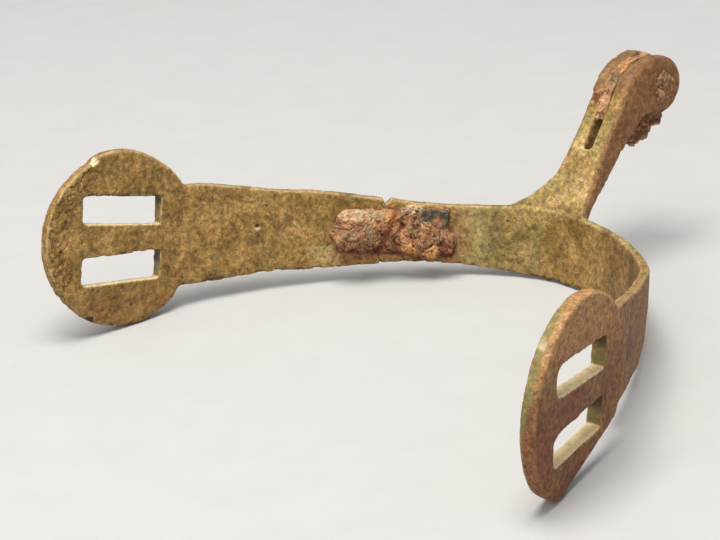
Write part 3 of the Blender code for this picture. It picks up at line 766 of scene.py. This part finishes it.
def paint_near_disc(skin, masks):
    """Paint the outside and the near terminal's rim browner and redder as painted shade with a painted
    reddish reflection, darker towards the bottom, and dull the pale edge paint there and on the neck.
    """
    along, across, rise = skin.places.T
    disc = ease(along, -16.0, -8.0) * (across > 12.0)
    outside = ease(skin.faces[:, 1] * np.sign(across), 0.0, 0.7) * (0.85 + 0.15 * disc)
    angle, reach, depth = NEAR.around(skin)
    clean_width = 0.5 + 0.9 * ease(angle, -10.0, 25.0) * ease(angle, 90.0, 60.0)
    brown_rim = disc * ease(reach, NEAR.radius - 1.0, NEAR.radius - 0.2)
    brown_rim *= ease(depth, clean_width - 0.25, clean_width + 0.25)
    masks["outer"] = np.maximum(outside, brown_rim)
    masks["hollow"] *= 1.0 - 0.9 * brown_rim
    # Darker towards the bottom of the near terminal: painted shade.
    masks["low"] = 0.72 * (1.0 - disc) + disc * ease(rise, 11.0, 1.0)
    masks["edge"] *= np.where(along < -50.0, 0.45, np.where(disc > 0.5, 0.35, 1.0))


def heel_band():
    """The casting: heel, near branch and terminal, and forked neck with crusts of rust on its head."""
    skin = Skin("heel_band_patinated", cad_mesh("heel_band"), CASTING_VOXEL, CASTING_SOFTENING)
    lips = crack_wander(skin)
    masks = weather(skin, 2.0, NEAR, 0.05)
    crust = fork_crust(skin)
    skin.push(crust)
    socket = near(skin.spots, PIN_CENTRE + PIN_RUST_OFFSET + SOCKET_OFFSET, SOCKET_RADIUS)
    skin.push(-0.30 * socket * (0.6 + rumple(skin.spots, 1.0, 14.0, 3)))
    masks["rust"] = np.maximum.reduce([rust_stain(skin), ease(crust, 0.02, 0.12), 1.3 * socket])
    paint_neck(skin, masks)
    paint_near_disc(skin, masks)
    masks["bared_metal_and_highlight"] = 0.6 * facet(skin, NICK_PLACE, NICK_HALF)
    patch = 0.5 * ease(near(skin.spots, DARK_PATCH_PLACE, 5.0), 0.1, 0.7)
    masks["dark"] = np.maximum.reduce([masks["dark"], lips, patch])
    paint_all(skin, masks, *PATINA_MASKS)
    skin.dress(PATINA, "spur", "cast_copper_alloy", "heel_band")


far_branch()
heel_band()


# ---------------------------------------------------------------- iron

# Lumps of rust on the repair plate, in mm on the far branch: run and rise of the middle, half length and
# half height, and how far they stand off the branch.
LUMPS = (
    (34.6, -0.1, 5.2, 3.9, 2.9),
    (30.4, 1.5, 2.6, 2.4, 2.6),
    (24.2, -1.2, 5.0, 3.7, 2.4),
    (22.8, -2.8, 2.2, 1.8, 3.0),
    (26.3, -2.4, 1.9, 1.5, 2.7),
    (20.0, -1.6, 1.4, 2.0, 2.2),
    (25.7, 4.4, 1.8, 0.75, 0.75),
    (27.2, 2.7, 2.0, 1.5, 1.2),
)
# How square a lump's outline is: 2 is an oval.
LUMP_SQUARENESS = 2.4
# Flat parts of the plate that still show: run from and to, rise from and to, and how far they stand off.
FLATS = (
    (20.1, 39.0, -4.1, 2.6, 0.9),
    (20.2, 25.2, 0.5, 4.2, 0.80),
)
# The grid that the crust is drawn on: its step, where it starts and stops, and how far inside the branch the
# surface and its root lie where there is no crust.
CRUST_STEP = 0.25
CRUST_ENDS = (18.0, 41.0)
CRUST_RISES = (-4.6, 4.8)
CRUST_BURIED = -0.5
CRUST_ROOT = -0.9


def crust_height(run, rise):
    """Return how far the rust and the plate under it stand off the branch, in mm; below 0 is inside it."""
    height = CRUST_BURIED
    for start, stop, low, high, stands in FLATS:
        if start < run < stop and low < rise < high:
            height = max(height, stands)
    ragged = 0.16 * noise.fractal(Vector((run, rise, 7.0)) / 1.7, 1.0, 2.0, 3)
    for middle, level, half_run, half_rise, stands in LUMPS:
        along = abs((run - middle) / half_run) ** LUMP_SQUARENESS
        above = abs((rise - level) / half_rise) ** LUMP_SQUARENESS
        away = max((along + above) ** (1 / LUMP_SQUARENESS) + ragged, 0.0)
        if away < 1.0:
            height = max(height, stands * math.sqrt(1.0 - away ** 3))
    return height


def crust_blank():
    """Return a closed mesh of the plate and its lumps, rooted inside the branch."""
    runs = np.arange(CRUST_ENDS[0], CRUST_ENDS[1], CRUST_STEP)
    rises = np.arange(CRUST_RISES[0], CRUST_RISES[1], CRUST_STEP)
    builder = bmesh.new()
    layers = []
    for crusted in (True, False):
        layer = []
        for run in runs:
            foot, inward = BRANCH.place(run, 0.0)
            heights = [crust_height(run, rise) if crusted else CRUST_ROOT for rise in rises]
            row = [foot + Vector((0.0, 0.0, rise)) + inward * height for rise, height in zip(rises, heights)]
            layer.append([builder.verts.new(SPUR @ place) for place in row])
        layers.append(layer)
    top, root = layers
    last_run, last_rise = len(runs) - 1, len(rises) - 1
    for i in range(last_run):
        for j in range(last_rise):
            builder.faces.new((top[i][j], top[i + 1][j], top[i + 1][j + 1], top[i][j + 1]))
            builder.faces.new((root[i][j], root[i][j + 1], root[i + 1][j + 1], root[i + 1][j]))
    ring = [(i, 0) for i in range(last_run + 1)] + [(last_run, j) for j in range(1, last_rise + 1)]
    ring += [(i, last_rise) for i in range(last_run - 1, -1, -1)]
    ring += [(0, j) for j in range(last_rise - 1, 0, -1)]
    for (i, j), (k, m) in zip(ring, ring[1:] + ring[:1]):
        builder.faces.new((top[i][j], root[i][j], root[k][m], top[k][m]))
    return as_mesh(builder, "crust_blank")


def flaky(skin, coarse, fine, seed, share=1.0):
    """Break a surface up into rust flakes, coarse and fine in mm high, on the share of it given."""
    folds = ease(np.abs(rumple(skin.spots, 2.1, seed, 3)), 0.09, 0.0)
    steps = 3.0 * rumple(skin.spots, 2.3, seed + 6.0, 3)
    terraces = np.floor(steps) + ease(steps - np.floor(steps), 0.60, 0.95)
    skin.push(share * coarse * (rumple(skin.spots, 1.9, seed + 1.0, 4) + 0.35 * terraces - 0.7 * folds))
    skin.push(share * fine * rumple(skin.spots, 0.60, seed + 2.0, 3))


RUST_MASKS = ("ochre", "bare", "pale", "deep", "crest")
# How much a bend in the surface counts as a crest, or as a hollow.
RUST_BEND_GAIN = 3.0


def dress_in_rust(skin, masks, body, slot, *nodes):
    """Find the hollows and crests of a rusted piece, paint it, and give it its material and place."""
    bend = skin.bend(2)
    rough = 1.0 - 0.8 * np.clip(masks.get("bare", np.zeros(len(bend))), 0.0, 1.0)
    # Hollows dark red and crests pale: partly the rust's own colour, partly painted shade and painted
    # highlight.
    masks["deep"] = np.maximum(rough * np.clip(-RUST_BEND_GAIN * bend, 0.0, 1.0), masks.get("deep", 0.0))
    masks["crest"] = rough * np.clip(RUST_BEND_GAIN * bend, 0.0, 1.0)
    paint_all(skin, masks, *RUST_MASKS)
    skin.dress(RUST, body, slot, *nodes)


def on_branch(skin, run, rise, radius):
    """Return 1 at a place on the far branch, easing to 0 at radius mm from it."""
    return ease(np.hypot(skin.run - run, skin.places[:, 2] - rise), radius, 0.0)


# Patches on the repair's rust: run, rise and radius, in mm.
OCHRE_PATCHES = ((29.9, 2.4, 1.9), (22.9, -2.9, 2.3), (26.3, -2.3, 1.9))
PALE_FLAKE = (25.9, 4.4, 1.8)
CORNER_RUST = (22.0, 2.2, 1.4)


def repair_crust():
    """The iron plate with the rust that has swollen over it and over the rivets' heads."""
    skin = Skin("repair_plate_rusted", crust_blank(), RUST_VOXEL, RUST_SOFTENING)
    run, rise = skin.run, skin.places[:, 2]
    corner = ease(run, 25.4, 24.9) * ease(run, 19.9, 20.2) * ease(rise, 0.8, 1.3) * ease(skin.off, 0.1, 0.4)
    buried = ease(skin.off, 0.2, 0.8) * (skin.off > 0.0)
    flaky(skin, 0.42, 0.09, 3.0, buried * (1.0 - 0.85 * corner))
    away = np.hypot(run - RIVET_REAR_AT * BRANCH.length, rise + 0.3)
    skin.push(0.14 * ease(away, 2.8, 2.0) * np.sin(away * 7.0))
    masks = {"ochre": 1.15 * np.maximum.reduce([on_branch(skin, *patch) for patch in OCHRE_PATCHES])}
    # The pale ridge along the top edge of the left lump: a painted highlight.
    ridge = ease(np.abs(rise - 3.0 + 0.5 * rumple(skin.spots, 1.6, 8.0)), 0.9, 0.2) * ease(run, 30.5, 33.0)
    masks["pale"] = np.maximum(0.7 * ridge, 1.8 * on_branch(skin, *PALE_FLAKE))
    rusting = np.clip(1.4 * on_branch(skin, *CORNER_RUST), 0.0, 0.75)
    masks["bare"] = corner * (1.0 - np.clip(masks["pale"], 0.0, 1.0)) * (1.0 - rusting)
    # Painted shade in the crevice between the lumps and painted shadow under them.
    crevice = ease(np.abs(run - 29.2 - 0.41 * (3.5 - rise)), 0.9, 0.2)
    under = ease(rise + 0.5 * rumple(skin.spots, 1.5, 12.0), -2.2, -3.4) * ease(run, 41.0, 37.0)
    tail = ease(np.hypot(run - 19.6, rise + 2.0), 2.2, 0.8)
    ochre_free = 1.0 - np.clip(masks["ochre"], 0.0, 1.0)
    masks["deep"] = np.clip(under * 0.9 * ochre_free + crevice * 0.8 + tail * 0.6, 0.0, 1.0) * (1.0 - corner)
    dress_in_rust(skin, masks, "spur", "repair_iron", "repair_plate")


def rusted(name, source, coarse, slot, node):
    """A small iron piece of the spur, eaten into a coarse rusted surface."""
    skin = Skin(name, source, RUST_VOXEL, RUST_SOFTENING)
    skin.push(np.full(len(skin.spots), -0.3 * coarse))
    flaky(skin, coarse, 0.4 * coarse, 5.0)
    dress_in_rust(skin, {}, "spur", slot, node)


# The rust between the fork's cheeks: direction from +X towards +Z in degrees, and how far it reaches in mm.
ROWEL_FILL = (
    (-24.0, 5.0), (-21.5, 12.9), (-15.0, 12.5), (-8.0, 11.4), (0.0, 10.4), (10.0, 9.3), (20.0, 8.4),
    (32.0, 7.5), (44.0, 6.6), (56.0, 5.8), (75.0, 5.1), (100.0, 4.5), (150.0, 4.3), (200.0, 4.5),
    (228.0, 5.2), (240.0, 6.7), (252.0, 7.3), (259.0, 7.6), (268.0, 8.8), (280.0, 9.2), (291.0, 11.0),
    (297.0, 10.4), (305.0, 8.2), (318.0, 7.0), (330.0, 5.0),
)
FILL_THICKNESS = 1.56
BARE_FILL_PLACE = (-67.6, -0.7, 26.8)
OCHRE_FILL_PLACE = (-70.0, -0.7, 28.6)


def rowel_fill():
    """Return a mesh of the rust round the rowel, with the rowel in it."""
    builder = bmesh.new()
    rings = []
    for side in (-0.5, 0.5):
        ring = []
        for degrees, reach in ROWEL_FILL:
            direction = Vector((math.cos(math.radians(degrees)), 0.0, math.sin(math.radians(degrees))))
            place = PIN_CENTRE + direction * reach + Vector((0.0, side * FILL_THICKNESS, 0.0))
            ring.append(builder.verts.new(SPUR @ place))
        rings.append(ring)
        builder.faces.new(ring)
    for i in range(len(ROWEL_FILL)):
        builder.faces.new((rings[0][i - 1], rings[0][i], rings[1][i], rings[1][i - 1]))
    builder.from_mesh(frame["nodes"]["rowel"].data)
    return as_mesh(builder, "rowel_blank")


def rowel():
    """What is left of the rowel: a lump of rust between the cheeks, standing out below and above them."""
    skin = Skin("rowel_rusted", rowel_fill(), RUST_VOXEL, RUST_SOFTENING)
    flat = ease(np.abs(skin.faces[:, 1]), 0.3, 0.8)
    below = ease(skin.places[:, 2], 20.5, 18.5)
    skin.push((1.0 - flat) * (0.35 + 0.30 * below) * (rumple(skin.spots, 1.7, 21.0, 3) + 0.1))
    skin.push(0.25 * rumple(skin.spots, 0.9, 23.0, 3) * (1.0 - flat * (1.0 - 0.5 * below)))
    skin.push(below * flat * (0.35 + 0.9 * rumple(skin.spots, 1.5, 25.0, 3)))
    masks = {
        "bare": 1.5 * near(skin.spots, BARE_FILL_PLACE, 2.0),
        "ochre": 0.8 * near(skin.spots, OCHRE_FILL_PLACE, 2.6),
        # Painted shadow on the rust below the cheeks.
        "deep": 0.5 * ease(skin.places[:, 2], 21.5, 20.0) * ease(skin.faces[:, 2], -0.4, 0.4),
    }
    dress_in_rust(skin, masks, "rowel", "rowel_iron", "rowel")


# The caps of rust on the pin's ends: how far along the pin, their radius, and how flat they are squashed.
PIN_CAPS = (-3.2, 3.2)
PIN_CAP_RADIUS = 2.75 * MM
PIN_CAP_SQUASH = Matrix.Diagonal((1.0, 0.32, 1.0, 1.0))


def pin_blank():
    """Return a mesh of the rowel pin with rust swollen out of its two ends."""
    builder = bmesh.new()
    builder.from_mesh(frame["nodes"]["rowel_pin"].data)
    for along in PIN_CAPS:
        middle = Matrix.Translation(SPUR @ (PIN_CENTRE + PIN_RUST_OFFSET + Vector((0.0, along, 0.0))))
        shape = middle @ PIN_CAP_SQUASH
        bmesh.ops.create_icosphere(builder, subdivisions=4, radius=PIN_CAP_RADIUS, matrix=shape)
    return as_mesh(builder, "pin_blank")


# Lumps of rust beside the end of the slit: centre and radius in mm.
FORK_LUMPS = (
    ((-65.4, -2.7, 24.2), 0.85), ((-66.3, -3.5, 25.0), 0.60), ((-65.2, -1.9, 23.4), 0.80),
    ((-64.7, -1.7, 22.0), 0.65), ((-64.1, -1.9, 20.8), 0.50), ((-65.9, -1.9, 25.0), 0.65),
    ((-64.3, -1.2, 21.2), 0.45), ((-64.6, -2.9, 23.1), 0.45),
)
FORK_OCHRE_PLACE = (-65.0, -2.0, 23.0)


def fork_rust_blank():
    """Return a mesh of overlapping balls, one for each lump beside the slit."""
    builder = bmesh.new()
    for centre, radius in FORK_LUMPS:
        spot = Matrix.Translation(SPUR @ Vector(centre))
        bmesh.ops.create_icosphere(builder, subdivisions=3, radius=radius * MM, matrix=spot)
    return as_mesh(builder, "fork_rust_blank")


def fork_rust():
    """The lumps of rust beside the end of the slit, on the far cheek."""
    skin = Skin("fork_rust", fork_rust_blank(), FORK_RUST_VOXEL, RUST_SOFTENING)
    flaky(skin, 0.30, 0.12, 9.0)
    masks = {
        "pale": ease(skin.places[:, 2], 21.8, 21.0),
        "ochre": 0.7 * near(skin.spots, FORK_OCHRE_PLACE, 2.0),
        "deep": 0.8 * ease(rumple(skin.spots, 1.2, 47.0, 3), 0.02, 0.20),
    }
    dress_in_rust(skin, masks, "spur", "rowel_iron")


# How coarse the rust on the small pieces is, in mm.
RIVET_COARSENESS = 0.4
PIN_COARSENESS = 0.45

repair_crust()
for end in ("front", "rear"):
    rivet = "repair_rivet_" + end
    rusted(rivet + "_rusted", cad_mesh(rivet), RIVET_COARSENESS, "repair_iron", rivet)
rusted("rowel_pin_rusted", pin_blank(), PIN_COARSENESS, "rowel_iron", "rowel_pin")
rowel()
fork_rust()


# ---------------------------------------------------------------- studio

FLOOR_RADIUS = 4.0
FLOOR_ROUGHNESS = 0.9
FLOOR_GREYS = (0.40, 0.395, 0.385), (0.44, 0.435, 0.425)
# Each lamp: its place and size in metres, its power in watts and its colour.
KEY_LAMP = (0.14, 0.03, 0.80), 0.45, 9.5, (1.0, 0.98, 0.94)
FILL_LAMP = (0.60, 0.15, 0.35), 0.60, 2.0, (1.0, 0.98, 0.95)
SURROUND_COLOUR = (0.95, 0.96, 1.0, 1.0)
SURROUND_STRENGTH = 0.50


def floor():
    """A plain pale floor."""
    builder = bmesh.new()
    bmesh.ops.create_circle(builder, cap_ends=True, segments=96, radius=FLOOR_RADIUS)
    mesh = bpy.data.meshes.new("floor")
    builder.to_mesh(mesh)
    builder.free()
    thing = bpy.data.objects.new("floor", mesh)
    bpy.context.scene.collection.objects.link(thing)
    it = Shader("pale_floor")
    colour = it.mix(it.grain(9.0, 3.0, 0.6), *FLOOR_GREYS)
    normal = it.bump(it.grain(0.6, 3.0, 0.6), 0.02)
    mesh.materials.append(it.finish(colour, FLOOR_ROUGHNESS, 0.0, normal))


def area_light(name, place, size, power, colour):
    """A soft square light that points where the camera does."""
    light = bpy.data.lights.new(name, "AREA")
    light.size = size
    light.energy = power
    light.color = colour
    lamp = bpy.data.objects.new(name, light)
    lamp.location = place
    lamp.rotation_euler = (Vector(place) - AIM).to_track_quat("Z", "Y").to_euler()
    bpy.context.scene.collection.objects.link(lamp)


def lights():
    """Soft studio light: a large lamp overhead, a weak one beside the camera, and a pale surround."""
    area_light("key", *KEY_LAMP)
    area_light("fill", *FILL_LAMP)
    world = bpy.data.worlds.new("surround")
    world.use_nodes = True
    surround = world.node_tree.nodes["Background"]
    surround.inputs["Color"].default_value = SURROUND_COLOUR
    surround.inputs["Strength"].default_value = SURROUND_STRENGTH
    bpy.context.scene.world = world


def camera():
    """The camera, looking down at the inside of the far branch past the near terminal."""
    data = bpy.data.cameras.new("camera")
    data.lens = CAMERA_LENS
    data.clip_start = CAMERA_CLIP_START
    thing = bpy.data.objects.new("camera", data)
    flat, rise = math.cos(CAMERA_ELEVATION), math.sin(CAMERA_ELEVATION)
    back = Vector((flat * math.cos(CAMERA_AZIMUTH), flat * math.sin(CAMERA_AZIMUTH), rise))
    upright = back.to_track_quat("Z", "Y").to_matrix().to_4x4()
    roll = Matrix.Rotation(CAMERA_ROLL, 4, "Z")
    thing.matrix_world = Matrix.Translation(AIM + back * CAMERA_DISTANCE) @ upright @ roll
    bpy.context.scene.collection.objects.link(thing)
    bpy.context.scene.camera = thing


floor()
lights()
camera()
bpy.context.scene.view_settings.view_transform = "Standard"
